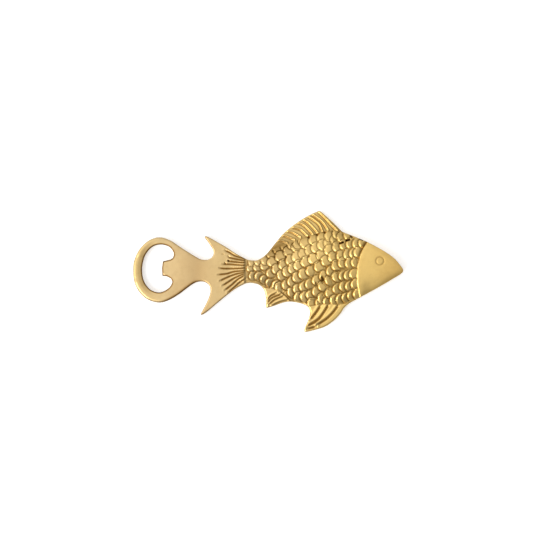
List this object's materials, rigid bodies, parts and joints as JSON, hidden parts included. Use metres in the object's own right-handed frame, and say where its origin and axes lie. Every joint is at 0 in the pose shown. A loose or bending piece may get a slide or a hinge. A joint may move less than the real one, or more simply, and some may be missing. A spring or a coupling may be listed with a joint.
{
  "type": "souvenir bottle opener",
  "caption": "Flat-backed cast brass fish whose tail runs into a ring with a tooth that levers the crown cap off a bottle.",
  "frame": {"origin": "middle of the bounding box, on the flat back that the opener lies on", "axes": "+X along the fish towards the nose, +Y towards the dorsal fin, +Z out of the modelled face"},
  "size_m": [0.165, 0.0742, 0.0092],
  "materials": {
    "brass_smooth": "satin, hand rubbed",
    "brass_relief": "satin on the high spots, darker in the grooves"
  },
  "bodies": {
    "root": {"opener_ring": "brass_smooth", "cap_tooth": "brass_smooth", "neck": "brass_smooth", "tail_fin": "brass_smooth", "tail_root": "brass_relief", "body": "brass_relief", "dorsal_fin": "brass_relief", "anal_fin": "brass_relief", "pelvic_fin": "brass_relief", "gill_rim": "brass_smooth", "head": "brass_smooth", "eye": "brass_smooth"}
  },
  "joints": []
}
